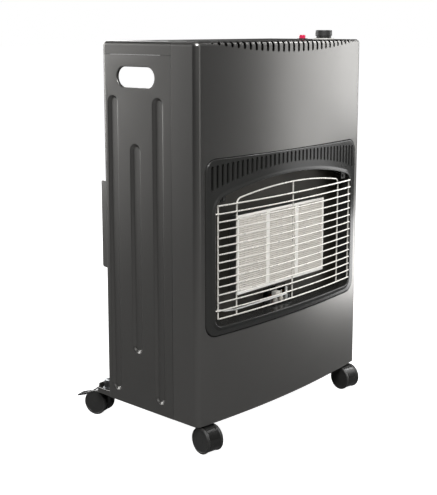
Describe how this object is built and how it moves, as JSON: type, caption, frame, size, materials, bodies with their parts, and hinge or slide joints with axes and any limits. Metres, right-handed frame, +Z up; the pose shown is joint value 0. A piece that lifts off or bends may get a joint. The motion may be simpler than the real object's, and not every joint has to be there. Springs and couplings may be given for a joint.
{
  "type": "portable gas cabinet heater",
  "caption": "Portable gas heater: bowed steel cabinet, ceramic burner behind a wire guard, open bottle bay at the back, tap knob and igniter on top, swivel casters.",
  "frame": {"origin": "on the floor under the middle of the whole heater", "axes": "+Z up, -Y towards the front with the burner window, +X to the right of someone facing it"},
  "size_m": [0.478, 0.3506, 0.7279],
  "materials": {
    "panel_paint": "satin metallic grey enamel on sheet steel",
    "side_paint": "satin dark grey enamel on sheet steel",
    "surround_paint": "matt heat-proof black-grey enamel",
    "inner_steel": "heat-browned dark enamel",
    "zinc_steel": "bright zinc plate",
    "nickel_wire": "bright nickel plate on drawn wire",
    "burner_ceramic": "unglazed, pierced with fine burner holes",
    "pale_frame": "pale aluminised sheet",
    "brass": "machined, lightly tarnished",
    "copper": "drawn copper tube",
    "porcelain": "white glazed insulator",
    "lead_sleeve": "woven glass sleeve over silicone",
    "black_plastic": "fine moulded grain",
    "gloss_black": "polished moulding",
    "red_plastic": "polished moulding"
  },
  "bodies": {
    "cabinet": {"base_tray": "side_paint", "burner_frame": "pale_frame", "burner_housing": "zinc_steel", "dial_plate": "black_plastic", "front_left_caster_socket": "zinc_steel", "front_panel": "panel_paint", "front_right_caster_socket": "zinc_steel", "gas_rail": "brass", "gas_tap": "brass", "heat_shield": "zinc_steel", "hose_nipple": "brass", "igniter_body": "black_plastic", "ignition_lead": "lead_sleeve", "left_ceramic_plaque": "burner_ceramic", "left_mixing_tube": "zinc_steel", "left_side_panel": "side_paint", "left_surround_screw": "zinc_steel", "main_gas_pipe": "copper", "middle_ceramic_plaque": "burner_ceramic", "middle_mixing_tube": "zinc_steel", "partition_panel": "inner_steel", "pilot_bracket": "zinc_steel", "pilot_burner": "nickel_wire", "pilot_gas_pipe": "copper", "rear_left_caster_socket": "zinc_steel", "rear_right_caster_socket": "zinc_steel", "reflector_panel": "inner_steel", "right_ceramic_plaque": "burner_ceramic", "right_mixing_tube": "zinc_steel", "right_side_panel": "side_paint", "right_surround_screw": "zinc_steel", "spark_electrode": "porcelain", "thermocouple": "zinc_steel", "top_cover": "side_paint", "window_surround": "surround_paint", "wire_guard": "nickel_wire"},
    "valve_plunger": {"valve_plunger": "brass"},
    "knob": {"valve_spindle": "zinc_steel", "control_knob": "black_plastic"},
    "igniter_button": {"igniter_button": "red_plastic"},
    "bottle_retainer": {"bottle_retainer": "side_paint"},
    "front_left_swivel": {"front_left_caster_hood": "gloss_black", "front_left_caster_axle": "zinc_steel"},
    "front_left_wheel_near": {"front_left_wheel_near": "black_plastic"},
    "front_left_wheel_far": {"front_left_wheel_far": "black_plastic"},
    "front_right_swivel": {"front_right_caster_hood": "gloss_black", "front_right_caster_axle": "zinc_steel"},
    "front_right_wheel_near": {"front_right_wheel_near": "black_plastic"},
    "front_right_wheel_far": {"front_right_wheel_far": "black_plastic"},
    "rear_left_swivel": {"rear_left_caster_hood": "gloss_black", "rear_left_caster_axle": "zinc_steel"},
    "rear_left_wheel_near": {"rear_left_wheel_near": "black_plastic"},
    "rear_left_wheel_far": {"rear_left_wheel_far": "black_plastic"},
    "rear_left_brake": {"rear_left_brake_lever": "gloss_black"},
    "rear_right_swivel": {"rear_right_caster_hood": "gloss_black", "rear_right_caster_axle": "zinc_steel"},
    "rear_right_wheel_near": {"rear_right_wheel_near": "black_plastic"},
    "rear_right_wheel_far": {"rear_right_wheel_far": "black_plastic"},
    "rear_right_brake": {"rear_right_brake_lever": "gloss_black"}
  },
  "joints": [
    {"name": "knob_press", "type": "slide", "parent": "cabinet", "child": "valve_plunger", "axis": [0, 0, -1], "range_m": [0, 0.004], "stiffness_N_per_m": 1200, "springref_m": -0.003},
    {"name": "knob_turn", "type": "hinge", "parent": "valve_plunger", "child": "knob", "pos_m": [0.178, -0.10297, 0.7], "axis": [0, 0, 1], "range_deg": [0, 240]},
    {"name": "igniter_press", "type": "slide", "parent": "cabinet", "child": "igniter_button", "axis": [0, 0, -1], "range_m": [0, 0.005], "stiffness_N_per_m": 800, "springref_m": -0.003},
    {"name": "retainer_lift", "type": "slide", "parent": "cabinet", "child": "bottle_retainer", "axis": [0, 0, 1], "range_m": [0, 0.014]},
    {"name": "front_left_swivel", "type": "hinge", "parent": "cabinet", "child": "front_left_swivel", "pos_m": [-0.21, -0.12797, 0.05], "axis": [0, 0, 1], "continuous": true},
    {"name": "front_left_near_spin", "type": "hinge", "parent": "front_left_swivel", "child": "front_left_wheel_near", "pos_m": [-0.21344, -0.1497, 0.0235], "axis": [0.9877, -0.1564, 0], "continuous": true},
    {"name": "front_left_far_spin", "type": "hinge", "parent": "front_left_swivel", "child": "front_left_wheel_far", "pos_m": [-0.21344, -0.1497, 0.0235], "axis": [0.9877, -0.1564, 0], "continuous": true},
    {"name": "front_right_swivel", "type": "hinge", "parent": "cabinet", "child": "front_right_swivel", "pos_m": [0.21, -0.12797, 0.05], "axis": [0, 0, 1], "continuous": true},
    {"name": "front_right_near_spin", "type": "hinge", "parent": "front_right_swivel", "child": "front_right_wheel_near", "pos_m": [0.20656, -0.1497, 0.0235], "axis": [0.9877, -0.1564, 0], "continuous": true},
    {"name": "front_right_far_spin", "type": "hinge", "parent": "front_right_swivel", "child": "front_right_wheel_far", "pos_m": [0.20656, -0.1497, 0.0235], "axis": [0.9877, -0.1564, 0], "continuous": true},
    {"name": "rear_left_swivel", "type": "hinge", "parent": "cabinet", "child": "rear_left_swivel", "pos_m": [-0.21, 0.10803, 0.05], "axis": [0, 0, 1], "continuous": true},
    {"name": "rear_left_near_spin", "type": "hinge", "parent": "rear_left_swivel", "child": "rear_left_wheel_near", "pos_m": [-0.21569, 0.12928, 0.0235], "axis": [-0.9659, -0.2588, 0], "continuous": true},
    {"name": "rear_left_far_spin", "type": "hinge", "parent": "rear_left_swivel", "child": "rear_left_wheel_far", "pos_m": [-0.21569, 0.12928, 0.0235], "axis": [-0.9659, -0.2588, 0], "continuous": true},
    {"name": "rear_left_brake", "type": "hinge", "parent": "rear_left_swivel", "child": "rear_left_brake", "pos_m": [-0.21934, 0.1429, 0.036], "axis": [-0.9659, -0.2588, 0], "range_deg": [0, 15]},
    {"name": "rear_right_swivel", "type": "hinge", "parent": "cabinet", "child": "rear_right_swivel", "pos_m": [0.21, 0.10803, 0.05], "axis": [0, 0, 1], "continuous": true},
    {"name": "rear_right_near_spin", "type": "hinge", "parent": "rear_right_swivel", "child": "rear_right_wheel_near", "pos_m": [0.20431, 0.12928, 0.0235], "axis": [-0.9659, -0.2588, 0], "continuous": true},
    {"name": "rear_right_far_spin", "type": "hinge", "parent": "rear_right_swivel", "child": "rear_right_wheel_far", "pos_m": [0.20431, 0.12928, 0.0235], "axis": [-0.9659, -0.2588, 0], "continuous": true},
    {"name": "rear_right_brake", "type": "hinge", "parent": "rear_right_swivel", "child": "rear_right_brake", "pos_m": [0.20066, 0.1429, 0.036], "axis": [-0.9659, -0.2588, 0], "range_deg": [0, 15]}
  ]
}
